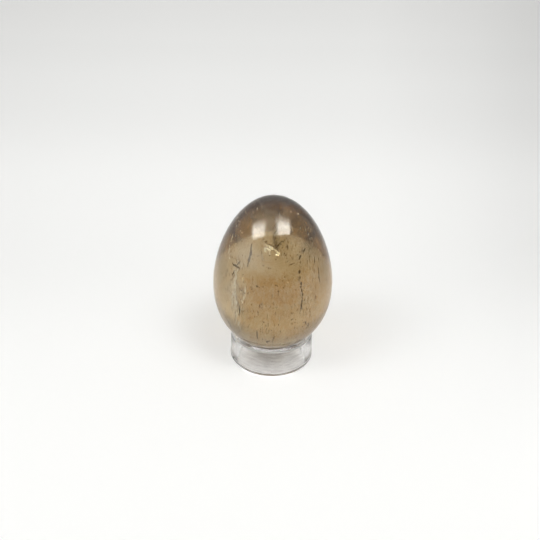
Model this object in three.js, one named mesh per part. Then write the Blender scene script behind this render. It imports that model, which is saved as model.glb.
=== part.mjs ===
// A polished stone egg standing small end up in a clear moulded ring.
// Millimetres, +Z up. The origin is on the surface that the ring stands on, on the axis of both pieces.

import * as THREE from 'three';

// Egg: its three driving sizes are those of the egg curve below.
const eggLength = 57.8; // from the blunt end to the small end
const eggBreadth = 43.6; // across the widest section
const eggSkew = 4.8; // how far the widest section lies below mid-length, towards the blunt end

// Ring stand: a short tube with a rounded lip.
const ringOuterDiameter = 32; // at the foot
const ringHeight = 11.1;
const ringWall = 3.2; // between the foot's outer edge and the bore
const ringDraft = 0.45; // how much the outer wall leans in from foot to rim
const lipRadius = 1.2; // round between the bore and the rim, where the egg rests
const rimEdgeRadius = 0.5; // outer edge of the rim
const footEdgeRadius = 1.0; // outer edge of the foot
const boreEdgeRadius = 0.4; // edge between the bore and the foot
const boreRadius = ringOuterDiameter / 2 - ringWall;

const seatClearance = 0.3; // between the egg and the lip, square to the egg's surface

// Facets
const segmentsAround = 72;
const eggSteps = 38;
const lipSteps = 8;
const edgeSteps = 4;

const quarterTurn = Math.PI / 2;

// The egg curve: an ellipse whose breadth is skewed along its length. height runs from the
// middle of the egg, positive towards the small end, and the result is the radius there.
function eggRadius(height) {
  const half = eggLength / 2;
  const ellipse = half * half - height * height;
  const skewed = half * half + 2 * eggSkew * height + eggSkew * eggSkew;
  return (eggBreadth / 2) * Math.sqrt(Math.max(ellipse, 0) / skewed);
}

// A point of the egg's profile. angle is 0 at the blunt end and Math.PI at the small end.
function eggPoint(angle) {
  const height = -(eggLength / 2) * Math.cos(angle);
  return new THREE.Vector2(eggRadius(height), height);
}

// The profile's outward unit normal, from two neighbouring points.
function eggNormal(angle) {
  const step = 1e-4;
  const along = eggPoint(angle + step).sub(eggPoint(angle - step)).normalize();
  return new THREE.Vector2(along.y, -along.x);
}

// The egg rests where its surface is tangent to the lip's round. The lip's centre then lies one lip
// radius and the clearance away from the egg, along the egg's normal, so the point of the profile
// whose offset has the lip centre's radius is found by halving. It gives the egg's mid-height.
function seatedEggHeight(lipCentre) {
  const offset = lipRadius + seatClearance;
  const offsetPoint = (angle) => eggPoint(angle).addScaledVector(eggNormal(angle), offset);
  let low = 0.01;
  let high = quarterTurn;
  for (let i = 0; i < 60; i += 1) {
    const middle = (low + high) / 2;
    if (offsetPoint(middle).x < lipCentre.x) low = middle;
    else high = middle;
  }
  return lipCentre.y - offsetPoint(low).y;
}

// Points of an arc in the profile plane, x being the radius and y the height.
function arc(centreX, centreY, radius, startAngle, endAngle, steps) {
  const points = [];
  for (let i = 0; i <= steps; i += 1) {
    const angle = startAngle + ((endAngle - startAngle) * i) / steps;
    points.push(new THREE.Vector2(centreX + radius * Math.cos(angle), centreY + radius * Math.sin(angle)));
  }
  return points;
}

// Lathe geometry turns about Y, so it is stood up to turn about Z.
function revolve(profile) {
  const geometry = new THREE.LatheGeometry(profile, segmentsAround);
  geometry.rotateX(quarterTurn);
  return geometry;
}

// Where the lip's round has its centre
function lipCentre() {
  return new THREE.Vector2(boreRadius + lipRadius, ringHeight - lipRadius);
}

function makeEgg() {
  const profile = [];
  for (let i = 0; i <= eggSteps; i += 1) profile.push(eggPoint((Math.PI * i) / eggSteps));
  profile[0].x = 0;
  profile[eggSteps].x = 0;
  const stone = new THREE.MeshStandardMaterial({ color: 0x9c8560, roughness: 0.05, metalness: 0 });
  const egg = new THREE.Mesh(revolve(profile), stone);
  egg.name = 'stone_egg';
  egg.position.z = seatedEggHeight(lipCentre());
  return egg;
}

// The ring's section, from the foot outwards, up the wall, over the rim, round the lip and down the bore.
function makeRing() {
  const outer = ringOuterDiameter / 2;
  const lip = lipCentre();
  const foot = arc(outer - footEdgeRadius, footEdgeRadius, footEdgeRadius, -quarterTurn, 0, edgeSteps);
  const rimX = outer - ringDraft - rimEdgeRadius;
  const rim = arc(rimX, ringHeight - rimEdgeRadius, rimEdgeRadius, 0, quarterTurn, edgeSteps);
  const lipRound = arc(lip.x, lip.y, lipRadius, quarterTurn, 2 * quarterTurn, lipSteps);
  const boreX = boreRadius + boreEdgeRadius;
  const boreEdge = arc(boreX, boreEdgeRadius, boreEdgeRadius, 2 * quarterTurn, 3 * quarterTurn, edgeSteps);
  const profile = [...foot, ...rim, ...lipRound, ...boreEdge];
  profile.push(profile[0].clone());
  const plastic = new THREE.MeshStandardMaterial({ color: 0xe6e8e6, roughness: 0.08, metalness: 0 });
  plastic.transparent = true;
  plastic.opacity = 0.35;
  const ring = new THREE.Mesh(revolve(profile), plastic);
  ring.name = 'ring_stand';
  return ring;
}

const eggOnStand = new THREE.Group();
eggOnStand.add(makeRing(), makeEgg());

export default eggOnStand;
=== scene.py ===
import bpy
import math
import random
from mathutils import Matrix, Vector


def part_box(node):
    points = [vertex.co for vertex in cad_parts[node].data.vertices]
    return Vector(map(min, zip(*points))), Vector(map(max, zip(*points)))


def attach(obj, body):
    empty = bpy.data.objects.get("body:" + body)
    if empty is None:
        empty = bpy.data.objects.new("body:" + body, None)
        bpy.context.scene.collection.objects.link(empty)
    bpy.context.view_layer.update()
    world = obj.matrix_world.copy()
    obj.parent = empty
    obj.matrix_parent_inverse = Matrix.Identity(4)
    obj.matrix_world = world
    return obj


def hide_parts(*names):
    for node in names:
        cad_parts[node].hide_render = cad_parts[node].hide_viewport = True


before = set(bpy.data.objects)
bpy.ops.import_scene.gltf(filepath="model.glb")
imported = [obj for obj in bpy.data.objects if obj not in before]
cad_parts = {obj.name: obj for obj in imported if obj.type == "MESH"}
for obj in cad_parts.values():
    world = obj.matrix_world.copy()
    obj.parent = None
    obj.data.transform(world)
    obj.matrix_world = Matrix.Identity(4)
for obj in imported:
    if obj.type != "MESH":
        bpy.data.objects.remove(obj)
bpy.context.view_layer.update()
print("frame loaded:", sorted(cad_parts))

eggLow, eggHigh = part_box("stone_egg")
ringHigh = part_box("ring_stand")[1]
dice = random.Random(11)


# meshes

def meshObject(name, verts, faces):
    mesh = bpy.data.meshes.new(name)
    mesh.from_pydata([tuple(v) for v in verts], [], faces)
    mesh.validate()
    piece = bpy.data.objects.new(name, mesh)
    bpy.context.scene.collection.objects.link(piece)
    for face in mesh.polygons:
        face.use_smooth = True
    return piece


def revolve(name, profile, around, closed):
    # profile is a list of (radius, height); a closed one ends where it starts
    verts, faces, rows = [], [], []
    for radius, height in profile:
        if radius < 1e-9:
            rows.append([len(verts)])
            verts.append((0, 0, height))
            continue
        rows.append(list(range(len(verts), len(verts) + around)))
        for i in range(around):
            turn = 2 * math.pi * i / around
            verts.append((radius * math.cos(turn), radius * math.sin(turn), height))
    pairs = list(zip(rows, rows[1:] + rows[:1])) if closed else list(zip(rows, rows[1:]))
    for low, high in pairs:
        for i in range(around):
            j = (i + 1) % around
            if len(low) == 1:
                faces.append((low[0], high[j], high[i]))
            elif len(high) == 1:
                faces.append((low[i], low[j], high[0]))
            else:
                faces.append((low[i], low[j], high[j], high[i]))
    return meshObject(name, verts, faces)


# shader nodes

def newMaterial(name):
    material = bpy.data.materials.new(name)
    material.use_nodes = True
    tree = material.node_tree
    return material, tree, tree.nodes["Principled BSDF"]


def feed(tree, value, socket):
    if isinstance(value, bpy.types.NodeSocket):
        tree.links.new(value, socket)
    else:
        socket.default_value = value


def setSockets(tree, node, values):
    for socket, value in values.items():
        feed(tree, value, node.inputs[socket])


def calc(tree, operation, *values):
    node = tree.nodes.new("ShaderNodeMath")
    node.operation = operation
    for value, socket in zip(values, node.inputs):
        feed(tree, value, socket)
    return node.outputs["Value"]


def times(tree, product, *others):
    for value in others:
        product = calc(tree, "MULTIPLY", product, value)
    return product


def fromAxis(tree, x, y):
    return calc(tree, "SQRT", calc(tree, "MULTIPLY_ADD", x, x, calc(tree, "MULTIPLY", y, y)))


def span(tree, value, fromMin, fromMax, toMin=0.0, toMax=1.0, smooth=True):
    node = tree.nodes.new("ShaderNodeMapRange")
    node.interpolation_type = "SMOOTHSTEP" if smooth else "LINEAR"
    setSockets(tree, node, {"Value": value, "From Min": fromMin, "From Max": fromMax,
                            "To Min": toMin, "To Max": toMax})
    return node.outputs["Result"]


def within(tree, value, low, high, lowFade, highFade):
    # 0 outside low and high, and 1 between them past the fades
    return times(tree, span(tree, value, low, low + lowFade), span(tree, value, high, high - highFade))


def blendColors(tree, factor, first, second, way="MIX"):
    node = tree.nodes.new("ShaderNodeMix")
    node.data_type, node.blend_type = "RGBA", way
    feed(tree, factor, node.inputs["Factor"])
    feed(tree, first, node.inputs[6])
    feed(tree, second, node.inputs[7])
    return node.outputs[2]


def stops(tree, value, levels):
    # a grey ramp through (place, level) pairs
    node = tree.nodes.new("ShaderNodeValToRGB")
    ramp = node.color_ramp
    low, high = levels[0][0], levels[-1][0]
    while len(ramp.elements) < len(levels):
        ramp.elements.new(0.5)
    for element, (place, level) in zip(ramp.elements, levels):
        element.position = (place - low) / (high - low)
        element.color = (level, level, level, 1)
    feed(tree, span(tree, value, low, high, smooth=False), node.inputs["Fac"])
    return node.outputs["Color"]


def objectPlace(tree):
    return tree.nodes.new("ShaderNodeTexCoord").outputs["Object"]


def split(tree, vector):
    node = tree.nodes.new("ShaderNodeSeparateXYZ")
    feed(tree, vector, node.inputs["Vector"])
    return node.outputs


def stretch(tree, vector, scale, turn=(0, 0, 0)):
    node = tree.nodes.new("ShaderNodeMapping")
    setSockets(tree, node, {"Vector": vector, "Rotation": turn, "Scale": scale})
    return node.outputs["Vector"]


def noise(tree, vector, scale, detail=2.0, roughness=0.5):
    node = tree.nodes.new("ShaderNodeTexNoise")
    setSockets(tree, node, {"Vector": vector, "Scale": scale, "Detail": detail, "Roughness": roughness})
    return node.outputs["Fac"]


def bump(tree, height, distance):
    node = tree.nodes.new("ShaderNodeBump")
    setSockets(tree, node, {"Height": height, "Distance": distance, "Strength": 1.0})
    return node.outputs["Normal"]


noiseRange = (0.3, 0.7)  # where most of a noise's values lie


def grainyMaterial(name, looks, sockets):
    # two colours in patches of a fine noise, which varies the roughness too
    material, tree, bsdf = newMaterial(name)
    grain = noise(tree, objectPlace(tree), *looks["grain"])
    patches = span(tree, grain, *looks["patches"]) if "patches" in looks else grain
    setSockets(tree, bsdf, {
        "Base Color": blendColors(tree, patches, *looks["colors"]),
        "Roughness": span(tree, grain, *noiseRange, *looks["roughness"]),
        **sockets,
    })
    return material


def seenRay(tree):
    # 1 for the camera, mirrors and glass, 0 for light that bounces off plain surfaces
    path = tree.nodes.new("ShaderNodeLightPath")
    seen = calc(tree, "MAXIMUM", path.outputs["Is Camera Ray"], path.outputs["Is Glossy Ray"])
    return calc(tree, "MAXIMUM", seen, path.outputs["Is Transmission Ray"])


# camera: the photograph's own angle, in a 540 by 540 frame
view = {
    "focalPixels": 560.0,
    "framePixels": 540.0,
    "elevation": 29.06,
    "distance": 0.2031,
    "nearest": 0.1,  # the stone is farther from the camera than this
    "target": (-0.00106, 0.0, 0.03646),
    "roll": 1.04,
}
cameraData = bpy.data.cameras.new("camera")
cameraData.sensor_width = 36.0
cameraData.lens = view["focalPixels"] / view["framePixels"] * cameraData.sensor_width
cameraData.clip_start = 0.01
camera = bpy.data.objects.new("camera", cameraData)
tilt = math.radians(view["elevation"])
camera.location = Vector(view["target"]) + view["distance"] * Vector((0, -math.cos(tilt), math.sin(tilt)))
aim = Matrix.Rotation(math.pi / 2 - tilt, 3, "X") @ Matrix.Rotation(math.radians(view["roll"]), 3, "Z")
camera.rotation_euler = aim.to_euler()
bpy.context.scene.collection.objects.link(camera)
bpy.context.scene.camera = camera
bpy.context.scene.view_settings.view_transform = "Standard"


def sight(spot):
    # the direction in which the camera sees a spot of the frame
    middle = view["framePixels"] / 2
    ray = Vector(((spot[0] - middle) / view["focalPixels"], (middle - spot[1]) / view["focalPixels"], -1))
    return (aim @ ray).normalized()


# egg: the same skewed ellipse as the solid, as a fine smooth mesh
egg = {
    "length": eggHigh.z - eggLow.z,
    "breadth": 0.0436,
    "skew": 0.0048,
    "middle": (eggHigh.z + eggLow.z) / 2,
    "around": 256,
    "steps": 160,
    "ior": 1.544,
    "halvings": 50,  # steps in which a ray finds the surface
    "paleColor": (0.885, 0.85, 0.74, 1),
    "deepColor": (0.68, 0.46, 0.22, 1),
    "capColor": (0.6, 0.52, 0.38, 1),
    "duskColor": (0.62, 0.55, 0.38, 1),
    "footColor": (1.0, 0.92, 0.66, 1),
    "coolColor": (0.5, 0.68, 0.98, 1),
    "footFrom": (0.021, 0.0125),  # heights between which one colour gives way to the next
    "capFrom": (0.043, 0.05),
    "clear": 0.978,  # the rest is haze
    "polish": (0.08, 0.13),  # roughness, from and to
    # growth lines, grains and swirls: noise scale per metre, detail and roughness, and share in the smoke
    "lineStretch": (1300, 1300, 280),
    "lineTurn": (0.1, 0.05, 0),
    "lineNoise": (1.0, 4.0, 0.7),
    "lineShare": 1.5,
    "tall": (1, 1, 0.6),  # grains and swirls are taller than they are wide
    "grainNoise": (1500.0, 4.0, 0.75),
    "grainShare": 2.8,
    "swirlNoise": (260, 4.0, 0.6),
    "swirlShare": 1.5,
    "smokeLess": 2.9,  # what is taken off their sum
    # how far swirls shift the edges of clouds, in metres, and the share of it upwards and in round patches
    "ragged": 0.008,
    "raggedUp": 0.25,
    "raggedRound": 0.6,
    "front": (0.006, -0.006),  # clouds set in from behind to the front between these places
    # clouds of smoke near the front, partly painted shade: the second and third paint the egg's own shadow on
    # the paper behind it, as seen through the stone. Frame spots of a cloud's upper left and lower right,
    # strength, and how far in its sides and its foot fade, in metres
    "smokeAndShadowClouds": [
        ((237, 266), (352, 343), 0.42, 0.005, 0.004),
        ((243, 264), (304, 303.5), 0.66, 0.0045, 0.001),
        ((246, 284), (302, 303.5), 0.8, 0.003, 0.001),
        ((288, 200), (352, 352), 0.58, 0.007, 0.002),
        ((296, 238), (330, 268), 0.6, 0.004, 0.003),
    ],
    # round patches, cool ones, darker ones and milky ones: frame spot, reach in metres, strength
    "cool": [
        ((301, 225), 0.0072, 0.6), ((310, 249), 0.0055, 0.45),
        ((221, 268), 0.0085, 0.4), ((224, 290), 0.007, 0.28), ((325, 270), 0.0085, 0.4),
    ],
    "dusk": [
        ((281, 240), 0.0062, 0.6), ((282, 254), 0.0062, 0.5),
        ((275, 237), 0.0022, 0.8), ((275.6, 243.5), 0.002, 0.55), ((281, 236.5), 0.0034, 0.6),
        ((306, 222), 0.008, 0.72), ((300.5, 216), 0.005, 0.35), ((315, 238), 0.008, 0.42),
        ((312, 247), 0.006, 0.3), ((298, 268), 0.006, 0.28),
        ((325, 262), 0.008, 0.6), ((325, 282), 0.007, 0.3), ((313, 292), 0.008, 0.18),
        ((221, 262), 0.007, 0.45), ((221, 280), 0.006, 0.32), ((232, 243), 0.004, 0.3),
        ((248, 317), 0.008, 0.6), ((276, 318), 0.009, 0.26), ((264, 299), 0.011, 0.2),
        ((292, 312), 0.011, 0.28), ((292, 274), 0.009, 0.26),
    ],
    "mist": [
        ((237, 254), 0.008, 0.03), ((243, 252), 0.0084, 0.13), ((252, 255), 0.008, 0.09),
        ((243, 268), 0.007, 0.07), ((260, 266), 0.007, 0.05),
        ((303, 243), 0.008, 0.05), ((312, 268), 0.008, 0.04),
        ((235, 292), 0.007, 0.1), ((236, 308), 0.007, 0.1),
        ((315, 290), 0.007, 0.05), ((312, 315), 0.007, 0.06), ((267, 274), 0.009, 0.04),
    ],
    "mistSwirls": (0.3, 0.65, 0.75, 1.25),
    # the cap is mottled: noise, its patches, the heights at which they set in, and the most haze
    "mottleTall": (1, 1, 0.8),
    "mottleNoise": (620, 4.0, 0.7),
    "mottle": (0.46, 0.66),
    "mottleFrom": (0.047, 0.055),
    "capHaze": 0.08,
    # painted contact shadow: a dark line painted on the stone where it meets the ring: heights, and how far
    # in front it sets in
    "contactColor": (0.2, 0.16, 0.12, 1),
    "contact": (0.0143, 0.0127),
    "contactShadowFront": (-0.01, -0.0135),
    "absorbColor": (0.575, 0.382, 0.0, 1),
    "absorbDensity": 39.5,  # per metre
    "waveNoise": (90.0, 1.0),
    "waviness": 0.00004,
}


def eggRadius(height):
    half = egg["length"] / 2
    ellipse = max(half * half - height * height, 0)
    skewed = half * half + 2 * egg["skew"] * height + egg["skew"] ** 2
    return egg["breadth"] / 2 * math.sqrt(ellipse / skewed)


def eggDepth(point):
    # positive inside the stone
    return eggRadius(point.z - egg["middle"]) - math.hypot(point.x, point.y)


def eggNormal(point):
    step = 1e-5
    slope = []
    for axis in range(3):
        shift = Vector([step if i == axis else 0 for i in range(3)])
        slope.append(eggDepth(point - shift) - eggDepth(point + shift))
    return Vector(slope).normalized()


def insideAt(spot, depth):
    # where the camera's ray through a spot of the frame is, depth metres into the stone
    ray = sight(spot)
    near, far = view["nearest"], view["distance"]
    for i in range(egg["halvings"]):
        middle = (near + far) / 2
        point = camera.location + ray * middle
        near, far = (near, middle) if eggDepth(point) > 0 else (middle, far)
    point = camera.location + ray * far
    normal = eggNormal(point)
    facing = -ray.dot(normal)
    bend = math.sqrt(1 - (1 - facing * facing) / egg["ior"] ** 2)
    inner = (ray + normal * facing) / egg["ior"] - normal * bend
    return point + inner.normalized() * depth, inner.normalized()


# smoke clouds and painted shadow, set in the stone's colour
def smokeAndShadowCover(tree, x, z):
    cover = 0.0
    for upper, lower, strength, sides, foot in egg["smokeAndShadowClouds"]:
        high, low = insideAt(upper, 0.0)[0], insideAt(lower, 0.0)[0]
        across = within(tree, x, high.x, low.x, sides, sides)
        along = within(tree, z, low.z, high.z, foot, sides)
        cover = calc(tree, "MAXIMUM", cover, times(tree, across, along, strength))
    return cover


def roundCover(tree, place, stray, patches):
    # each patch is densest in its middle
    cover = 0.0
    for spot, reach, strength in patches:
        away = tree.nodes.new("ShaderNodeVectorMath")
        away.operation = "DISTANCE"
        setSockets(tree, away, {0: place, 1: insideAt(spot, 0.0)[0]})
        near = calc(tree, "ADD", away.outputs["Value"], stray)
        cover = calc(tree, "ADD", cover, span(tree, near, reach, 0.0, 0.0, strength))
    return cover


def smokyQuartz():
    material, tree, bsdf = newMaterial("smokyQuartz")
    place = objectPlace(tree)
    where = split(tree, place)
    height = where["Z"]

    def part(value, key):
        return span(tree, value, *egg[key])

    # growth lines run up the stone, with grains and soft clouds of smoke over them; two of the clouds are
    # painted shadow
    lines = noise(tree, stretch(tree, place, egg["lineStretch"], egg["lineTurn"]), *egg["lineNoise"])
    grains = noise(tree, stretch(tree, place, egg["tall"]), *egg["grainNoise"])
    swirls = noise(tree, stretch(tree, place, egg["tall"]), *egg["swirlNoise"])
    smoke = -egg["smokeLess"]
    for pattern, share in ((lines, "lineShare"), (grains, "grainShare"), (swirls, "swirlShare")):
        smoke = calc(tree, "MULTIPLY_ADD", pattern, egg[share], smoke)
    ragged = calc(tree, "MULTIPLY_ADD", swirls, egg["ragged"], -egg["ragged"] / 2)
    x = calc(tree, "ADD", where["X"], ragged)
    z = calc(tree, "MULTIPLY_ADD", ragged, egg["raggedUp"], height)
    # the clouds, two of which paint the shadow behind the egg as seen through the stone
    smoke = calc(tree, "MULTIPLY_ADD", smokeAndShadowCover(tree, x, z), part(where["Y"], "front"), smoke)

    pale = blendColors(tree, part(height, "footFrom"), egg["paleColor"], egg["footColor"])
    deep = blendColors(tree, part(height, "capFrom"), egg["deepColor"], egg["capColor"])
    color = blendColors(tree, smoke, pale, deep)
    stray = times(tree, ragged, egg["raggedRound"])
    for kind in ("dusk", "cool"):
        cover = roundCover(tree, place, stray, egg[kind])
        color = blendColors(tree, cover, color, egg[kind + "Color"], "MULTIPLY")
    # painted contact shadow along the stone's foot, at the front
    contact = times(tree, part(height, "contact"), part(where["Y"], "contactShadowFront"))
    color = blendColors(tree, contact, color, egg["contactColor"], "MULTIPLY")

    mist = times(tree, roundCover(tree, place, stray, egg["mist"]), part(swirls, "mistSwirls"))
    mottle = noise(tree, stretch(tree, place, egg["mottleTall"]), *egg["mottleNoise"])
    cap = times(tree, part(mottle, "mottle"), part(height, "mottleFrom"), egg["capHaze"])
    milky = calc(tree, "MAXIMUM", mist, cap)
    wave = noise(tree, place, *egg["waveNoise"])
    setSockets(tree, bsdf, {
        "Base Color": color,
        "Roughness": span(tree, swirls, *noiseRange, *egg["polish"]),
        "Transmission Weight": calc(tree, "SUBTRACT", egg["clear"], milky),
        "IOR": egg["ior"],
        "Normal": bump(tree, wave, egg["waviness"]),
    })
    absorb = tree.nodes.new("ShaderNodeVolumeAbsorption")
    setSockets(tree, absorb, {"Color": egg["absorbColor"], "Density": egg["absorbDensity"]})
    tree.links.new(absorb.outputs["Volume"], tree.nodes["Material Output"].inputs["Volume"])
    return material


def makeEgg():
    profile = []
    for i in range(egg["steps"] + 1):
        height = -egg["length"] / 2 * math.cos(math.pi * i / egg["steps"])
        radius = 0 if i in (0, egg["steps"]) else eggRadius(height)
        profile.append((radius, egg["middle"] + height))
    piece = revolve("polished_egg", profile, egg["around"], False)
    piece.data.materials.append(smokyQuartz())
    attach(piece, "egg")
    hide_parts("stone_egg")


makeEgg()
print("egg made")


# flaws in the stone, most of them thin closed slivers along the frame spots given
pixelSize = view["distance"] / view["focalPixels"]
eggSpot = (272, 272)  # the middle of the egg in the frame
sliver = {"ends": 0.25, "jitter": 0.15}  # width at its ends, and chance in it, as shares of the width


def blade(verts, faces, line, width, thickness, across):
    # a tapered sliver with a four-sided section, added to verts and faces
    ends, jitter = sliver["ends"], sliver["jitter"]
    first = len(verts)
    count = len(line)
    for i, point in enumerate(line):
        before, after = line[max(i - 1, 0)], line[min(i + 1, count - 1)]
        along = (after - before).normalized()
        sideways = along.cross(across).normalized()
        outward = sideways.cross(along)
        taper = ends + (1 - ends) * math.sin(math.pi * (i + 0.5) / count)
        half = width / 2 * taper * dice.uniform(1 - 2 * jitter, 1 + 2 * jitter)
        middle = point + sideways * width * dice.uniform(-jitter, jitter)
        verts += [middle + sideways * half, middle + outward * thickness / 2,
                  middle - sideways * half, middle - outward * thickness / 2]
    for i in range(count - 1):
        a, b = first + 4 * i, first + 4 * i + 4
        for j in range(4):
            k = (j + 1) % 4
            faces.append((a + j, a + k, b + k, b + j))
    last = first + 4 * (count - 1)
    faces.append((first + 3, first + 2, first + 1, first))
    faces.append((last, last + 1, last + 2, last + 3))


def bladeAlong(verts, faces, spots, depth, width, thickness, steps=5, dip=0.0, across=None):
    # spots in the frame, depth in metres at the first and growing by dip, width in pixels
    line, inner = [], None
    for i in range(len(spots) - 1):
        for j in range(steps + (i == len(spots) - 2)):
            t = j / steps
            spot = [a + (b - a) * t for a, b in zip(spots[i], spots[i + 1])]
            point, inner = insideAt(spot, depth + dip * (i + t) / (len(spots) - 1))
            line.append(point)
    blade(verts, faces, line, width * pixelSize, thickness, across or inner)


def upright(x, y, lean, half, bow):
    # a short line in the frame, from top to bottom
    return [(x + lean * half, y - half), (x + bow, y), (x - lean * half, y + half)]


def strays(spots, reach):
    # whether a flaw would leave an oval round the egg's middle in the frame
    return any(math.hypot((x - eggSpot[0]) / reach[0], (y - eggSpot[1]) / reach[1]) > 1 for x, y in spots)


def addFlaw(name, verts, faces, material, smooth=False):
    piece = meshObject(name, verts, faces)
    for face in piece.data.polygons:
        face.use_smooth = smooth
    piece.data.materials.append(material)
    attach(piece, "egg")
    return piece


darkCracks = {
    "colors": ((0.1, 0.052, 0.002, 1), (0.24, 0.14, 0.02, 1)),
    "grain": (1500.0, 3.0),
    "patches": (0.5, 0.75),
    "roughness": (0.35, 0.6),
    "thickness": 0.0001,
    "dip": 0.0012,  # how much deeper a line ends than it starts
    # chance in the rows: stray up and down in pixels, and ranges of length, width and depth
    "upStray": 0.5,
    "lean": (0.1, 0.1, 3),  # the mean, its spread, and how many pixels of stray add 1 to the spread
    "lengths": (0.4, 1.3),
    "widths": (0.6, 1.2),
    "depths": (0.8, 1.3),
    # spots, depth in metres, width in pixels
    "lines": [
        ([(232.3, 263.6), (240.2, 269)], 0.002, 1.7),
        ([(240.4, 261.2), (236.4, 265.6)], 0.002, 1.2),
        ([(234.5, 270.2), (232.3, 275.4)], 0.002, 1.2),
        ([(251.6, 243.6), (250.9, 252.4), (248.3, 263), (247.4, 267.6)], 0.003, 1.7),
        ([(251.4, 247), (250.9, 252.4), (249.8, 257.5)], 0.003, 1.3),
        ([(301, 255.2), (298.9, 259.6)], 0.003, 1.8),
        ([(305.2, 248.2), (303.4, 252.2)], 0.003, 1.3),
        ([(310, 249), (315.8, 244.4)], 0.002, 0.8),
        ([(315, 255.6), (314.2, 263.6)], 0.002, 1.0),
        ([(318.4, 269.2), (319.6, 282.4)], 0.002, 1.0),
        ([(321.6, 254.7), (324.2, 255.5)], 0.002, 1.4),
        ([(299.1, 270), (299.5, 273.6)], 0.004, 1.7),
        ([(308.4, 322.6), (307.9, 327.2)], 0.003, 1.1),
        ([(239.6, 306.4), (239.3, 315)], 0.002, 1.2),
        ([(227.3, 319.8), (233.2, 329.8)], 0.001, 0.9),
        ([(256.7, 330.4), (257.4, 339)], 0.003, 1.0),
        ([(265.2, 343), (269.8, 340.6)], 0.002, 1.9),
        ([(288.6, 265.6), (291.4, 264.3), (294.8, 263.2)], 0.006, 0.7),
        ([(265.6, 243.2), (272, 245.6), (279.4, 251.8)], 0.0035, 0.5),
        ([(265, 241.2), (266.6, 242.6)], 0.003, 1.5),
        ([(280.6, 242.4), (276.2, 248)], 0.003, 0.9),
        ([(302.1, 298.6), (301.9, 303), (300.6, 311.6)], 0.005, 1.25),
        ([(301, 281.8), (301.5, 285.8)], 0.005, 1.3),
    ],
    # rows of short flakes: spots, depth in metres, flakes, their length, width and stray in pixels
    "rows": [
        ([(301.4, 286), (302.4, 293), (302.4, 300), (301.2, 309)], 0.005, 11, 2.8, 1.0, 0.35),
        ([(305.6, 298), (306.4, 310), (305.8, 330)], 0.004, 6, 2.8, 0.7, 0.7),
        ([(299, 245), (300.6, 262), (299.4, 282)], 0.004, 5, 2.4, 0.8, 0.6),
        ([(317.6, 246), (319, 262), (320.4, 286)], 0.002, 7, 2.8, 0.7, 0.7),
        ([(230.6, 250), (233.4, 262), (231, 280)], 0.002, 5, 2.8, 0.7, 0.7),
        ([(240.2, 288), (240, 300), (239.2, 330)], 0.003, 7, 3.2, 0.7, 0.5),
        ([(274, 231), (275.2, 238), (274.8, 246)], 0.002, 10, 2.2, 0.9, 1.0),
        ([(278, 236), (281, 243), (284, 258)], 0.003, 8, 1.5, 0.8, 2.6),
    ],
}


def spotAlong(spots, t):
    # the spot a share t of the way through a list of spots
    reach = min(t * (len(spots) - 1), len(spots) - 1.001)
    i = int(reach)
    return [a + (b - a) * (reach - i) for a, b in zip(spots[i], spots[i + 1])]


def chanceLine(looks, spots, i, count, length, stray):
    # the middle, lean and half length of a short line laid by chance along a row
    x, y = spotAlong(spots, (i + dice.uniform(0.1, 0.9)) / count)
    x, y = x + dice.gauss(0, stray), y + dice.gauss(0, looks["upStray"])
    lean, spread, strayPart = looks["lean"]
    return x, y, dice.gauss(lean, spread + stray / strayPart), length / 2 * dice.uniform(*looks["lengths"])


def chanceSize(looks, width, depth):
    return width * dice.uniform(*looks["widths"]), depth * dice.uniform(*looks["depths"])


def makeDarkCracks():
    verts, faces = [], []
    for spots, depth, width in darkCracks["lines"]:
        bladeAlong(verts, faces, spots, depth, width, darkCracks["thickness"], dip=darkCracks["dip"])
    for spots, depth, flakes, length, width, stray in darkCracks["rows"]:
        for i in range(flakes):
            x, y, lean, half = chanceLine(darkCracks, spots, i, flakes, length, stray)
            ends = [(x + lean * half, y - half), (x - lean * half, y + half)]
            size, deep = chanceSize(darkCracks, width, depth)
            bladeAlong(verts, faces, ends, deep, size, darkCracks["thickness"], steps=3)
    material = grainyMaterial("openCrack", darkCracks, {"Specular IOR Level": 0.1})
    addFlaw("dark_cracks", verts, faces, material)


makeDarkCracks()

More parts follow.
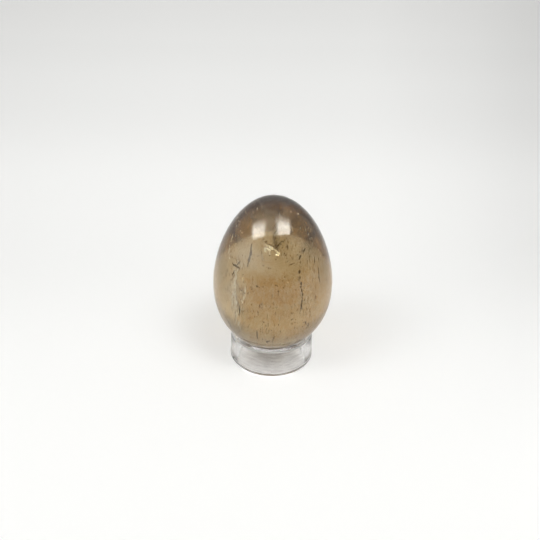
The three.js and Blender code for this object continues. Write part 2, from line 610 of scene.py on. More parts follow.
# golden flakes: narrow blades, spots, depth in metres, width in pixels
goldenFlakes = {
    "colors": ((1.0, 0.93, 0.7, 1), (1.0, 0.98, 0.9, 1)),
    "grain": (1200.0, 2.0),
    "roughness": (0.18, 0.32),
    "thickness": 0.00003,
    "longest": 0.03,  # the light's way through the stone is shorter than this
    "tries": 4,  # steps in which the light's way settles, and halvings in each
    "halvings": 30,
    "toLight": (-0.5, -0.21, 0.62),  # the flakes lie so that they throw light from there to the camera
    "lines": [
        ([(264.2, 244.4), (268.6, 246.2), (273, 248.6), (276.4, 251.2)], 0.003, 1.15),
        ([(275.6, 250.6), (280, 253.6)], 0.003, 1.0),
        ([(264.6, 247.9), (267.4, 248.9), (271, 250.8)], 0.003, 1.3),
        ([(264.5, 248.4), (264.9, 252)], 0.003, 1.2),
        ([(275.2, 254.6), (278.9, 256)], 0.003, 1.4),
        ([(266, 248.8), (270.6, 250.6)], 0.0028, 1.6),
        ([(265.4, 249.6), (266.2, 253.2)], 0.0028, 1.1),
        ([(268.8, 247.4), (272.8, 249.6)], 0.0028, 1.1),
        ([(276.4, 252.8), (279.8, 254.6)], 0.0028, 1.3),
        ([(233, 234.2), (230.8, 241.8)], 0.001, 0.8),
        ([(304.8, 285.6), (304, 290.2)], 0.003, 1.6),
        ([(303, 291.4), (303.5, 293.2)], 0.003, 1.2),
        ([(264.8, 342), (266.2, 343.6)], 0.002, 1.3),
        ([(272, 308.6), (278.6, 307.9)], 0.004, 0.9),
        ([(297.4, 213.2), (298.6, 214.4)], 0.001, 1.3),
        ([(223.8, 253), (227, 257.2)], 0.001, 0.7),
        ([(242.4, 278), (243.6, 279.4)], 0.003, 1.5),
        ([(294, 274), (294.6, 279.4)], 0.004, 0.7),
        ([(236.2, 218.6), (239, 216.8)], 0.001, 0.8),
        ([(286.8, 281.6), (289, 282.8)], 0.006, 0.8),
    ],
}

# pale flakes: feathers of fine cleavage that throw a soft light
paleFlakes = {
    "colors": ((1.0, 1.0, 0.98, 1), (0.85, 0.83, 0.78, 1)),
    "grain": (900, 2.0),
    "patches": (0.35, 0.65),
    "roughness": (0.3, 0.42),
    "thickness": 0.00003,
    "reach": (54.0, 74.0),  # in pixels, sideways and up
    "upStray": 0.8,
    "lean": (0.12, 0.1, 20),
    "lengths": (0.4, 1.3),
    "bow": (-0.3, 0.3),
    "widths": (0.6, 1.4),
    "depths": (0.8, 1.4),
    # spots, depth in metres, flakes, their length, width and stray in pixels
    "rows": [
        ([(237, 270), (235.2, 280), (233.2, 291)], 0.003, 17, 6.0, 0.75, 1.0),
        ([(233, 286), (233.4, 297), (235, 305)], 0.003, 15, 5.0, 0.65, 1.3),
        ([(245.4, 285), (244.2, 294), (242.4, 303)], 0.004, 11, 5.0, 0.75, 0.6),
        ([(235, 304), (236.6, 316), (238, 330)], 0.003, 15, 6.0, 0.6, 1.4),
        ([(231, 246), (228, 262)], 0.002, 7, 3.5, 0.55, 1.2),
        ([(241, 220), (233, 244)], 0.0012, 9, 2.2, 0.4, 2.6),
        ([(304, 226), (322, 262)], 0.0012, 12, 2.4, 0.4, 2.6),
        ([(307, 270), (312, 300), (306, 330)], 0.003, 20, 4.0, 0.45, 2.6),
    ],
}


def bent(direction, normal):
    # the way a ray from outside goes on in the stone
    facing = -direction.dot(normal)
    inner = (direction + normal * facing) / egg["ior"]
    return (inner - normal * math.sqrt(1 - inner.length_squared)).normalized()


def facingLight(spot, depth, light):
    # the way a flake faces that throws the light, bent where it enters, to the camera
    point, inner = insideAt(spot, depth)
    way = bent(light, eggNormal(insideAt(spot, 0.0)[0]))
    for i in range(goldenFlakes["tries"]):
        near, far = 0.0, goldenFlakes["longest"]
        for j in range(goldenFlakes["halvings"]):
            middle = (near + far) / 2
            near, far = (middle, far) if eggDepth(point - way * middle) > 0 else (near, middle)
        way = bent(light, eggNormal(point - way * near))
    return -(inner + way).normalized()


def makeGoldenFlakes():
    verts, faces = [], []
    light = -Vector(goldenFlakes["toLight"]).normalized()
    for spots, depth, width in goldenFlakes["lines"]:
        facing = facingLight(spots[0], depth, light)
        bladeAlong(verts, faces, spots, depth, width, goldenFlakes["thickness"], steps=4, across=facing)
    addFlaw("golden_flakes", verts, faces, grainyMaterial("goldenFlake", goldenFlakes, {"Metallic": 1.0}))


def makePaleFlakes():
    verts, faces = [], []
    light = -Vector(goldenFlakes["toLight"]).normalized()
    for spots, depth, flakes, length, width, stray in paleFlakes["rows"]:
        for i in range(flakes):
            x, y, lean, half = chanceLine(paleFlakes, spots, i, flakes, length, stray)
            ends = upright(x, y, lean, half, dice.uniform(*paleFlakes["bow"]))
            if strays(ends, paleFlakes["reach"]):
                continue
            point, inner = insideAt(ends[0], 0.0)
            facing = -(inner + bent(light, eggNormal(point))).normalized()
            size, deep = chanceSize(paleFlakes, width, depth)
            bladeAlong(verts, faces, ends, deep, size, paleFlakes["thickness"], steps=3, across=facing)
    addFlaw("pale_flakes", verts, faces, grainyMaterial("paleFlake", paleFlakes, {"Metallic": 1.0}))


makeGoldenFlakes()
makePaleFlakes()

# specks: small grains, some where the photograph has them and some strewn
specks = {
    "colors": ((0.06, 0.042, 0.018, 1), (0.36, 0.24, 0.1, 1)),
    "grain": (400, 2.0),
    "patches": (0.4, 0.65),
    "roughness": (0.4, 0.6),
    # spot, depth in metres, size in pixels
    "grains": [
        ((268.7, 268), 0.005, 1.8), ((286.4, 247.2), 0.003, 1.5), ((267, 241.4), 0.002, 1.5),
        ((276, 259.4), 0.004, 1.8), ((256.7, 286.3), 0.005, 1.7), ((263.2, 287), 0.005, 1.8),
        ((251, 292), 0.006, 1.2), ((278.2, 291.4), 0.006, 2.0), ((292, 297), 0.006, 1.3),
        ((266, 326), 0.003, 1.4), ((268, 333), 0.003, 1.3), ((284.6, 253.2), 0.005, 1.2),
        ((243, 274.6), 0.003, 1.3), ((283, 281), 0.006, 1.2), ((272, 298), 0.006, 1.2),
        ((311, 300), 0.003, 1.2), ((245.2, 271.6), 0.003, 1.1), ((281, 244.4), 0.003, 1.4),
    ],
    # middle of a cluster, how far it spreads in pixels, grains
    "clusters": [
        ((250, 290), (6.0, 3.5), 12), ((281, 291), (6.5, 4.0), 11), ((267, 333), (6.0, 7.0), 10),
        ((300, 322), (7.0, 7.0), 10), ((290, 268), (9.0, 6.0), 8),
    ],
    "clusterDepth": (0.003, 0.007),
    "clusterSize": (0.7, 1.5),  # in pixels
    "strewn": 260,
    "strewnSize": (0.00015, 0.00042),
    "strewnMargin": 0.001,
    "strewnHeights": (0.06, 0.94),  # shares of the egg's height
    "tall": 1.3,
    "jitter": (0.6, 1.2),
}


def grain(verts, faces, middle, size):
    # an irregular eight-sided grain
    first, tall = len(verts), specks["tall"]
    for x, y, z in ((1, 0, 0), (0, 1, 0), (-1, 0, 0), (0, -1, 0), (0, 0, tall), (0, 0, -tall)):
        verts.append(middle + Vector((x, y, z)) * size / 2 * dice.uniform(*specks["jitter"]))
    for j in range(4):
        k = (j + 1) % 4
        faces.append((first + j, first + k, first + 4))
        faces.append((first + k, first + j, first + 5))


def strewnPoint(margin, low, high):
    # a chance point in the stone, low and high being shares of its height
    while True:
        height = egg["length"] * (dice.uniform(low, high) - 0.5)
        reach = eggRadius(height) - margin
        if reach <= 0:
            continue
        turn, out = dice.uniform(0, 2 * math.pi), reach * math.sqrt(dice.random())
        return Vector((out * math.cos(turn), out * math.sin(turn), egg["middle"] + height))


def makeSpecks():
    verts, faces = [], []
    for spot, depth, size in specks["grains"]:
        grain(verts, faces, insideAt(spot, depth)[0], size * pixelSize)
    for spot, spread, count in specks["clusters"]:
        for i in range(count):
            near = (dice.gauss(spot[0], spread[0]), dice.gauss(spot[1], spread[1]))
            middle = insideAt(near, dice.uniform(*specks["clusterDepth"]))[0]
            grain(verts, faces, middle, dice.uniform(*specks["clusterSize"]) * pixelSize)
    for i in range(specks["strewn"]):
        middle = strewnPoint(specks["strewnMargin"], *specks["strewnHeights"])
        grain(verts, faces, middle, dice.uniform(*specks["strewnSize"]))
    material = grainyMaterial("mineralSpeck", specks, {"Specular IOR Level": 0.1})
    addFlaw("mineral_specks", verts, faces, material)


makeSpecks()

# needles: fine hairs, nearly upright
needles = {
    "color": (0.24, 0.155, 0.06, 1),
    "paleColor": (0.96, 0.91, 0.8, 1),
    "paleShare": 0.62,
    "roughness": (0.3, 0.5),
    "shade": (300, 2.0),
    "shadeShare": 0.1,
    "count": 90,
    "length": (0.0008, 0.0035),
    "width": (0.00006, 0.00016),
    "lean": 0.22,
    "flat": 0.8,  # thickness as a share of the width
    "margin": 0.0015,  # from the surface, in the middle and at the ends
    "endMargin": 0.0008,
    "heights": (0.1, 0.9),  # shares of the egg's height
    "reach": (52.0, 72.0),  # in pixels, sideways and up
    # frame spots of a zone's upper left and lower right, how many hairs, their length and width in pixels
    "zones": [
        ((226, 260), (246, 322), 60, 9.0, 0.55),
        ((298, 240), (328, 330), 60, 8.0, 0.55),
        ((262, 226), (318, 262), 44, 4.0, 0.7),
        ((246, 300), (300, 342), 50, 4.5, 0.6),
        ((232, 204), (300, 236), 26, 3.0, 0.5),
    ],
    # and of these the ranges of depth in metres, length, bow and width
    "zoneDepth": (0.001, 0.008),
    "zoneLean": (-0.05, 0.25),  # the mean and its spread
    "zoneLengths": (0.3, 1.2),
    "zoneBow": (-0.4, 0.4),
    "zoneWidths": (0.6, 1.2),
    "zoneFlat": 0.6,
}


def makeNeedles():
    verts, faces = [], []
    for i in range(needles["count"]):
        start = strewnPoint(needles["margin"], *needles["heights"])
        along = Vector((dice.gauss(0, needles["lean"]), dice.gauss(0, needles["lean"]), 1)).normalized()
        reach = dice.uniform(*needles["length"])
        line = [start + along * reach * (j / 3 - 0.5) for j in range(4)]
        if min(eggDepth(line[0]), eggDepth(line[-1])) < needles["endMargin"]:
            continue
        across = Vector((dice.uniform(-1, 1), dice.uniform(-1, 1), 0))
        width = dice.uniform(*needles["width"])
        blade(verts, faces, line, width, width * needles["flat"], across)
    for upper, lower, count, length, width in needles["zones"]:
        for i in range(count):
            x, y = dice.uniform(upper[0], lower[0]), dice.uniform(upper[1], lower[1])
            lean, half = dice.gauss(*needles["zoneLean"]), length / 2 * dice.uniform(*needles["zoneLengths"])
            depth = dice.uniform(*needles["zoneDepth"])
            ends = upright(x, y, lean, half, dice.uniform(*needles["zoneBow"]))
            if strays(ends, needles["reach"]):
                continue
            size = width * dice.uniform(*needles["zoneWidths"])
            bladeAlong(verts, faces, ends, depth, size, size * pixelSize * needles["zoneFlat"], steps=2)
    material, tree, bsdf = newMaterial("fineNeedle")
    shade = noise(tree, objectPlace(tree), *needles["shade"])
    island = tree.nodes.new("ShaderNodeNewGeometry").outputs["Random Per Island"]
    pale = calc(tree, "MULTIPLY_ADD", shade, needles["shadeShare"], island)
    pale = span(tree, pale, 1.0 - needles["paleShare"], 1.0 + needles["shadeShare"])
    setSockets(tree, bsdf, {
        "Base Color": blendColors(tree, pale, needles["color"], needles["paleColor"]),
        "Roughness": span(tree, shade, *noiseRange, *needles["roughness"]),
        "Specular IOR Level": 0.2,
    })
    addFlaw("fine_needles", verts, faces, material)


makeNeedles()

# veils: thin clouded sheets, each a grid between the corner spots given
veils = {
    "thickness": 0.00004,
    "cells": (10, 24),
    "waves": (5.1, 2.3, 900, 3.7),  # ripples across, along, by depth, and along again
    "fades": (4, 3, 5),  # how fast the cover grows from the sides, the top and the foot
    "streakStretch": (1100, 1100, 170),
    "streakNoise": (1.0, 3.0, 0.6),
    "streaks": (0.38, 0.62, 0.25, 1.0),
    "sheets": {
        # corners top left, top right, bottom right, bottom left; depth, dip, ripple; colour, most cover
        "left_veil": ([(236, 270), (239.5, 270), (239.5, 311), (229.5, 311)],
                      0.003, 0.006, 0.0005, (0.98, 0.94, 0.84, 1), 0.27),
        "left_streak": ([(243, 280), (245.6, 280), (242.6, 304), (239.2, 304)],
                        0.004, 0.004, 0.0004, (0.98, 0.94, 0.84, 1), 0.24),
        "top_smudge": ([(271.8, 229.5), (279.5, 229.5), (281.5, 251.5), (271.8, 249.5)],
                       0.004, 0.003, 0.0004, (0.17, 0.11, 0.02, 1), 0.51),
    },
}


def veilMaterial(name, color, cover):
    material, tree, bsdf = newMaterial(name)
    streaks = noise(tree, stretch(tree, objectPlace(tree), veils["streakStretch"]), *veils["streakNoise"])
    fade = tree.nodes.new("ShaderNodeAttribute")
    fade.attribute_name = "fade"
    setSockets(tree, bsdf, {
        "Base Color": color,
        "Roughness": 0.6,
        "Specular IOR Level": 0.2,
        "Alpha": times(tree, span(tree, streaks, *veils["streaks"]), fade.outputs["Fac"], cover),
    })
    return material


def makeVeil(name, corners, depth, dip, ripple, color, cover):
    wide, tall = veils["cells"]
    across, along, start, back = veils["waves"]
    sideFade, topFade, footFade = veils["fades"]
    front, rear, fades = [], [], []
    for i in range(tall + 1):
        t = i / tall
        for j in range(wide + 1):
            s = j / wide
            spot = [(a + (b - a) * s) * (1 - t) + (d + (c - d) * s) * t for a, b, c, d in zip(*corners)]
            swell = ripple * math.sin(across * s + along * t + depth * start) * math.cos(back * t + s)
            point, inner = insideAt(spot, depth + dip * t + swell)
            front.append(point - inner * veils["thickness"] / 2)
            rear.append(point + inner * veils["thickness"] / 2)
            fade = min(min(s, 1 - s) * sideFade, 1) * min(t * topFade, 1)
            fades.append(fade * min((1 - t) * footFade, 1))
    faces, other = [], len(front)
    row = wide + 1
    for i in range(tall):
        for j in range(wide):
            a = i * row + j
            faces.append((a, a + row, a + row + 1, a + 1))
            faces.append((other + a, other + a + 1, other + a + row + 1, other + a + row))
    rim = list(range(row)) + [i * row + wide for i in range(1, tall + 1)]
    rim += [tall * row + j for j in range(wide - 1, -1, -1)] + [i * row for i in range(tall - 1, 0, -1)]
    for a, b in zip(rim, rim[1:] + rim[:1]):
        faces.append((a, b, other + b, other + a))
    material = veilMaterial(name.split("_")[0] + "Veil", color, cover)
    piece = addFlaw(name, front + rear, faces, material, smooth=True)
    # the cover fades out towards the sheet's edge
    levels = piece.data.attributes.new("fade", "FLOAT", "POINT")
    for i, level in enumerate(fades + fades):
        levels.data[i].value = level


for name, sheet in veils["sheets"].items():
    makeVeil(name, *sheet)
print("flaws made")


# ring
ring = {
    "outer": ringHigh.x,
    "height": ringHigh.z,
    "wall": 0.0032,
    "draft": 0.00045,
    "lip": 0.0012,
    "rimEdge": 0.0005,
    "footEdge": 0.001,
    "boreEdge": 0.0004,
    "roundSteps": (10, 8, 14, 8),  # along the rounds of foot, rim, lip and bore
    "around": 512,
    "ior": 1.49,
    "color": (0.975, 0.975, 0.97, 1),
    "clear": 0.97,
    "shine": (0.02, 0.12),  # roughness, from clean to hazy
    "hazeTall": (1, 1, 1.6),
    "hazeNoise": (190, 3.0, 0.6),
    "haze": (0.35, 0.75),
    "scratchStretch": ((260, 260, 2600), (0.9, 0.5, 0.3)),
    "scratchNoise": (1.0, 3.0, 0.7),
    "scratches": (0.56, 0.7),  # scratches show only where the haze lies in its own range
    "scratchHaze": (0.42, 0.62),
    "scratchRough": 0.16,
    "relief": 0.000002,
    "hazeRelief": 0.4,
    # flow streaks run round the wall: noise scales round it and up it
    "flow": (2.2, 900),
    "streakColor": (0.78, 0.77, 0.77, 1),
    "streakNoise": (1.0, 3.0, 0.6),
    "streaks": (0.42, 0.62),
    # the lip under the egg is painted grey, a painted reflection of the dark egg, less so at the left and
    # right: heights, distances from the axis
    "lipReflectionColor": (0.76, 0.73, 0.73, 1),
    "lipReflectionHeight": (0.0092, 0.0104),
    "lipReflectionReach": (0.015, 0.0143),
    "lipRough": 0.15,
    "sidesFrom": (0.0075, 0.011),
    "sidesLess": 0.85,
    # a painted contact shadow: a dark line on which the egg rests: heights, distances from the axis, and how
    # far in front it sets in
    "seatColor": (0.03, 0.024, 0.024, 1),
    "seatShadowHeight": (0.0104, 0.0107),
    "seatShadowReach": (0.01395, 0.0138),
    "seatShadowFront": (-0.0085, -0.0115),
    # frosting round the outer edges of foot and rim, stronger at the left and right
    "frostFoot": (0.001, 0.0008),
    "frostRim": (0.0104, 0.0107),
    "frostReach": (0.0148, 0.0152),
    "frostRough": 0.6,
    "frost": 0.25,
    "sideFrost": 0.45,
    # the mould's seam, a fine ridge up the outer wall: a frame spot that it passes, its size, how deep in the
    # wall it starts, and how far it stays from foot and rim
    "seamAt": (278.6, 356),
    "seamHeight": 0.00005,
    "seamWidth": 0.00035,
    "seamSkin": 0.0007,
    "seamEnds": (0.0012, 0.0003),
}


def arc(x, z, radius, start, end, steps):
    return [(x + radius * math.cos(start + (end - start) * i / steps),
             z + radius * math.sin(start + (end - start) * i / steps)) for i in range(steps + 1)]


def wallPoint(spot, radius):
    # where the camera's ray through a spot of the frame first meets an upright wall of that radius
    ray, eye = sight(spot), camera.location
    a = ray.x ** 2 + ray.y ** 2
    b = eye.x * ray.x + eye.y * ray.y
    c = eye.x ** 2 + eye.y ** 2 - radius ** 2
    return eye + ray * ((-b - math.sqrt(max(b * b - a * c, 0))) / a)


def clearPlastic():
    material, tree, bsdf = newMaterial("clearPlastic")
    place = objectPlace(tree)
    where = split(tree, place)
    height, reach = where["Z"], fromAxis(tree, where["X"], where["Y"])

    def part(value, key):
        return span(tree, value, *ring[key])

    aside = part(calc(tree, "ABSOLUTE", where["X"]), "sidesFrom")
    haze = noise(tree, stretch(tree, place, ring["hazeTall"]), *ring["hazeNoise"])
    scratches = noise(tree, stretch(tree, place, *ring["scratchStretch"]), *ring["scratchNoise"])
    scuffed = times(tree, part(scratches, "scratches"), part(haze, "scratchHaze"))

    flow = tree.nodes.new("ShaderNodeCombineXYZ")
    turn = calc(tree, "ARCTAN2", where["X"], where["Y"])
    turnScale, heightScale = ring["flow"]
    setSockets(tree, flow, {"X": times(tree, turn, turnScale), "Y": times(tree, height, heightScale)})
    streaks = noise(tree, flow.outputs["Vector"], *ring["streakNoise"])
    color = blendColors(tree, part(streaks, "streaks"), ring["color"], ring["streakColor"])
    # painted reflection of the dark egg: the lip under it is greyed
    lipReflection = times(tree, part(height, "lipReflectionHeight"), part(reach, "lipReflectionReach"),
                 calc(tree, "MULTIPLY_ADD", aside, -ring["sidesLess"], 1.0))
    color = blendColors(tree, lipReflection, color, ring["lipReflectionColor"])
    # painted contact shadow where the egg rests on the lip
    seat = times(tree, part(height, "seatShadowHeight"), part(reach, "seatShadowReach"), part(where["Y"], "seatShadowFront"))
    color = blendColors(tree, seat, color, ring["seatColor"])

    edges = calc(tree, "MAXIMUM", part(height, "frostFoot"), part(height, "frostRim"))
    frost = times(tree, edges, part(reach, "frostReach"))
    cloudy = times(tree, frost, calc(tree, "MULTIPLY_ADD", aside, ring["sideFrost"], ring["frost"]))
    rough = span(tree, haze, *ring["haze"], *ring["shine"])
    for cover, level in ((scuffed, "scratchRough"), (lipReflection, "lipRough"), (frost, "frostRough")):
        rough = calc(tree, "MAXIMUM", rough, times(tree, cover, ring[level]))
    setSockets(tree, bsdf, {
        "Base Color": color,
        "Roughness": rough,
        "IOR": ring["ior"],
        "Transmission Weight": calc(tree, "SUBTRACT", ring["clear"], cloudy),
        "Normal": bump(tree, calc(tree, "MULTIPLY_ADD", haze, ring["hazeRelief"], scuffed), ring["relief"]),
    })
    return material


def raiseSeam(verts):
    seam = wallPoint(ring["seamAt"], ring["outer"] - ring["draft"])
    seamTurn = math.atan2(seam.y, seam.x)
    low, high = ring["seamEnds"][0], ring["height"] - ring["seamEnds"][1]
    for vert in verts:
        reach = math.hypot(vert.co.x, vert.co.y)
        away = abs(math.remainder(math.atan2(vert.co.y, vert.co.x) - seamTurn, 2 * math.pi)) * reach
        if reach > ring["outer"] - ring["seamSkin"] and low < vert.co.z < high:
            lift = 1 + ring["seamHeight"] * math.exp(-(2 * away / ring["seamWidth"]) ** 2) / reach
            vert.co.x *= lift
            vert.co.y *= lift


def makeRing():
    quarter, outer, top = math.pi / 2, ring["outer"], ring["height"]
    bore = outer - ring["wall"]
    foot, rim, lip, edge = ring["footEdge"], ring["rimEdge"], ring["lip"], ring["boreEdge"]
    rounds = [(outer - foot, foot, foot), (outer - ring["draft"] - rim, top - rim, rim),
              (bore + lip, top - lip, lip), (bore + edge, edge, edge)]
    profile = []
    for i, (x, z, radius) in enumerate(rounds):
        profile += arc(x, z, radius, (i - 1) * quarter, i * quarter, ring["roundSteps"][i])
    piece = revolve("clear_ring", profile, ring["around"], True)
    raiseSeam(piece.data.vertices)
    piece.data.materials.append(clearPlastic())
    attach(piece, "ring")
    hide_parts("ring_stand")


makeRing()

# the stub that the mould's gate left low on the wall
gateStub = {
    "at": (233.6, 357.4),
    "size": 0.0009,
    "sunk": 0.1,  # share of its size that lies in the wall
    "flat": 0.8,
    "rows": 6,
    "around": 12,
    "jitter": (0.85, 1.1),
    "colors": ((0.02, 0.02, 0.018, 1), (0.1, 0.1, 0.09, 1)),
    "grain": (2500.0, 2.0),
    "roughness": (0.3, 0.6),
}


def makeGateStub():
    size, rows, around = gateStub["size"], gateStub["rows"], gateStub["around"]
    middle = wallPoint(gateStub["at"], ring["outer"])
    middle -= Vector((middle.x, middle.y, 0)).normalized() * size * gateStub["sunk"]
    verts, faces = [], []
    for i in range(1, rows):
        turn = math.pi * i / rows
        for j in range(around):
            lap = 2 * math.pi * j / around
            reach = size / 2 * math.sin(turn) * dice.uniform(*gateStub["jitter"])
            up = size / 2 * math.cos(turn) * gateStub["flat"]
            verts.append(middle + Vector((reach * math.cos(lap), reach * math.sin(lap), up)))
    for i in range(rows - 2):
        for j in range(around):
            a, b = i * around + j, i * around + (j + 1) % around
            faces.append((a, a + around, b + around, b))
    faces.append(tuple(range(around)))
    faces.append(tuple(reversed(range((rows - 2) * around, (rows - 1) * around))))
    piece = meshObject("gate_stub", verts, faces)
    piece.data.materials.append(grainyMaterial("stubPlastic", gateStub, {}))
    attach(piece, "ring")


makeGateStub()
print("ring made")


# stage: pale paper, flat under the object and rising behind it
stage = {
    "halfWidth": 1.6,
    "front": -1.2,
    "back": 1.5,
    "height": 1.5,
    "bend": 0.6,
    "bendSteps": 16,
    "gap": 0.00002,  # between the paper and the ring's foot
    "color": (0.66, 0.66, 0.65, 1),
    "tint": (1.0, 1.0, 0.986, 1),
    # how much the paper glows for the camera, mirrors and glass: (metres behind the object, level)
    "glow": [
        (-0.1, 0.395), (0.0, 0.43), (0.06, 0.427), (0.12, 0.472), (0.2, 0.51), (0.36, 0.517), (0.56, 0.562),
        (0.95, 0.581), (1.8, 0.42),
    ],
    # and how much less to the sides: (slant, loss), and where behind the object that sets in
    "sideLoss": [
        (-0.5, 0.065), (-0.3, 0.027), (-0.15, 0.006), (0.0, 0.0), (0.15, 0.0), (0.3, 0.06), (0.5, 0.19),
    ],
    "sideLossFrom": (-0.05, 0.1),
    "slantFrom": 0.25,
    "slantLeast": -0.1,
    # painted shadow under the egg, where the paper glows less: middle, distances from it, level left
    "shadowUnderEgg": ((0.0, 0.001), (0.0025, 0.0145), 0.05),
    # a painted pool of light under the foot in front, where a caustic would gather: distances from the axis,
    # left and right ends, fades, and gain
    "pool": {
        "reach": (0.0146, 0.0159), "soft": 0.0003, "sides": (-0.0095, 0.007), "sideSoft": 0.0025,
        "front": (0.0, -0.004), "gain": 1.2,
    },
}


def paperGlow(tree):
    place = split(tree, objectPlace(tree))
    run = calc(tree, "ADD", place["Y"], place["Z"])
    depth = calc(tree, "ADD", calc(tree, "MAXIMUM", run, stage["slantLeast"]), stage["slantFrom"])
    loss = stops(tree, calc(tree, "DIVIDE", place["X"], depth), stage["sideLoss"])
    loss = times(tree, loss, span(tree, run, *stage["sideLossFrom"], smooth=False))
    level = calc(tree, "SUBTRACT", stops(tree, run, stage["glow"]), loss)
    # painted shadow: the paper's glow drops under the egg
    middle, reach, left = stage["shadowUnderEgg"]
    away = [calc(tree, "SUBTRACT", place[axis], shift) for axis, shift in zip("XY", middle)]
    level = times(tree, level, span(tree, fromAxis(tree, *away), *reach, left, 1.0))
    pool = stage["pool"]
    near, far = pool["reach"]
    left, right = pool["sides"]
    soft, ends = pool["soft"], pool["sideSoft"]
    band = within(tree, fromAxis(tree, place["X"], place["Y"]), near - soft, far + soft, soft, soft)
    part = within(tree, place["X"], left - ends, right + ends, ends, ends)
    # painted pool of light on the paper round the front of the foot
    paintedPool = times(tree, band, part, span(tree, place["Y"], *pool["front"]))
    level = times(tree, level, calc(tree, "MULTIPLY_ADD", paintedPool, pool["gain"], 1.0))
    return times(tree, level, seenRay(tree))


def palePaper():
    material, tree, bsdf = newMaterial("palePaper")
    setSockets(tree, bsdf, {"Base Color": stage["color"], "Roughness": 0.9, "Specular IOR Level": 0.0})
    glow = tree.nodes.new("ShaderNodeEmission")
    setSockets(tree, glow, {"Color": stage["tint"], "Strength": paperGlow(tree)})
    both = tree.nodes.new("ShaderNodeAddShader")
    tree.links.new(bsdf.outputs["BSDF"], both.inputs[0])
    tree.links.new(glow.outputs["Emission"], both.inputs[1])
    tree.links.new(both.outputs["Shader"], tree.nodes["Material Output"].inputs["Surface"])
    return material


def makeStage():
    verts, faces = [], []
    line = [(stage["front"], -stage["gap"]), (0.0, -stage["gap"])]
    for i in range(stage["bendSteps"] + 1):
        turn = math.pi / 2 * i / stage["bendSteps"]
        line.append((stage["back"] - stage["bend"] + stage["bend"] * math.sin(turn),
                     stage["bend"] - stage["bend"] * math.cos(turn) - stage["gap"]))
    line.append((stage["back"], stage["height"]))
    for y, z in line:
        verts += [(-stage["halfWidth"], y, z), (stage["halfWidth"], y, z)]
    for i in range(len(line) - 1):
        faces.append((2 * i, 2 * i + 1, 2 * i + 3, 2 * i + 2))
    sweep = meshObject("sweep", verts, faces)
    sweep.data.materials.append(palePaper())


makeStage()

# lamps: overhead panels, each lifted above lampHeight. The level falls to 0 towards the back, between the two
# places of fade, and sides says how far it fades in from left and right, in shares of the panel's size.
lampHeight = 0.62
lamps = {
    "leftPanel": {"at": (-0.498, -0.212), "size": (0.53, 0.53), "turn": -18,
                  "fade": (0.34, 0.9), "level": 7.5},
    "rightPanel": {"at": (0.245, -0.198), "size": (0.45, 0.46), "turn": 12,
                   "fade": (0.15, 1.0), "level": 9.0},
}
lampLooks = {"sides": (0.26, 0.26), "lift": 0.0, "tint": (1, 1, 1)}
# polish shows each panel as a glint with a slanting front edge
glints = {
    "leftPanel": {"at": (-0.47, -0.246), "size": (0.6, 0.6), "turn": -18, "fade": (0.38, 0.89),
                  "slant": 0.17, "sides": (0.24, 0.24)},
    "rightPanel": {"at": (0.252, -0.214), "size": (0.49, 0.54), "turn": 12, "fade": (0.36, 0.86),
                   "slant": 0.1, "sides": (0.26, 0.12)},
}
glintLooks = {"level": 13.0, "lift": 0.01, "tint": (1.0, 0.975, 0.9)}
# each glint has a faint halo, and a broad sheen lies between them
haloLooks = {"level": 1.56, "lift": 0.02, "tint": (1.0, 1.0, 0.75), "fade": (0.0, 1.0), "sides": (0.5, 0.5),
             "spread": 1.8}
sheen = {"at": (-0.09, -0.2), "size": (0.62, 0.64), "turn": 0, "level": 1.5, "lift": 0.03,
         "tint": (1.0, 1.0, 0.8), "fade": (0.3, 1.0), "sides": (0.3, 0.3)}
slantFade = (-0.02, 0.04)


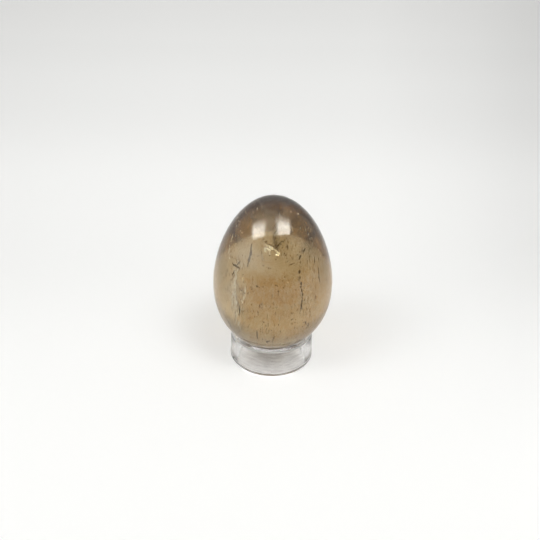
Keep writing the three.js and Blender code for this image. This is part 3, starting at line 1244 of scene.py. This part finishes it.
def addPanel(name, panel):
    light = bpy.data.lights.new(name, "AREA")
    light.shape = "RECTANGLE"
    light.size, light.size_y = panel["size"]
    light.energy = math.pi * light.size * light.size_y
    light.color = panel["tint"]
    light.use_nodes = True
    tree = light.node_tree
    where = split(tree, tree.nodes.new("ShaderNodeNewGeometry").outputs["Parametric"])
    level = span(tree, where["Y"], *panel["fade"], panel["level"], 0.0)
    if "slant" in panel:
        slant = panel["slant"]
        cut = calc(tree, "MULTIPLY_ADD", where["X"], -slant, where["Y"])
        cut = calc(tree, "ADD", cut, slant / 2 * (1 - 1 / panel.get("spread", 1.0)))
        level = times(tree, level, span(tree, cut, *slantFade))
    level = times(tree, level, within(tree, where["X"], 0.0, 1.0, *panel["sides"]))
    feed(tree, level, tree.nodes["Emission"].inputs["Strength"])
    holder = bpy.data.objects.new(name, light)
    holder.location = (*panel["at"], lampHeight + panel["lift"])
    holder.rotation_euler = (0, 0, math.radians(panel["turn"]))
    holder.visible_camera = False
    bpy.context.scene.collection.objects.link(holder)
    return holder


def onlyInPolish(panel):
    panel.visible_diffuse = False
    panel.visible_transmission = False


def haloOf(glint):
    # wider than its glint, and starting at the glint's own front edge
    spread, turn = haloLooks["spread"], math.radians(glint["turn"])
    back = (spread - 1) / 2 * glint["size"][1]
    at = (glint["at"][0] - back * math.sin(turn), glint["at"][1] + back * math.cos(turn))
    return {**glint, **haloLooks, "at": at, "size": [side * spread for side in glint["size"]]}


for name, lamp in lamps.items():
    addPanel(name, {**lamp, **lampLooks}).visible_glossy = False
    onlyInPolish(addPanel(name + "Glint", {**glints[name], **glintLooks}))
    onlyInPolish(addPanel(name + "Halo", haloOf(glints[name])))
onlyInPolish(addPanel("sheen", sheen))

# surroundings: a pale room, dimmer as a light, and dimmer in polish on the side that the camera stands
room = {
    "color": (1.0, 1.0, 0.985, 1),
    "light": 0.285,
    "seen": 0.72,
    "shine": (0.3, 0.72),
    "shineAlong": (-0.5, 0.5),
}
world = bpy.data.worlds.new("room")
bpy.context.scene.world = world
world.use_nodes = True
air = world.node_tree
along = split(air, air.nodes.new("ShaderNodeTexCoord").outputs["Generated"])["Y"]
shine = span(air, along, *room["shineAlong"], *room["shine"])
path = air.nodes.new("ShaderNodeLightPath")
seen = calc(air, "MAXIMUM", path.outputs["Is Camera Ray"], path.outputs["Is Transmission Ray"])
level = calc(air, "MULTIPLY_ADD", seen, room["seen"] - room["light"], room["light"])
glossy = times(air, path.outputs["Is Glossy Ray"], calc(air, "SUBTRACT", 1.0, seen))
extra = times(air, glossy, calc(air, "SUBTRACT", shine, room["light"]))
level = calc(air, "ADD", level, extra)
setSockets(air, air.nodes["Background"], {"Color": room["color"], "Strength": level})
print("stage and lamps made")
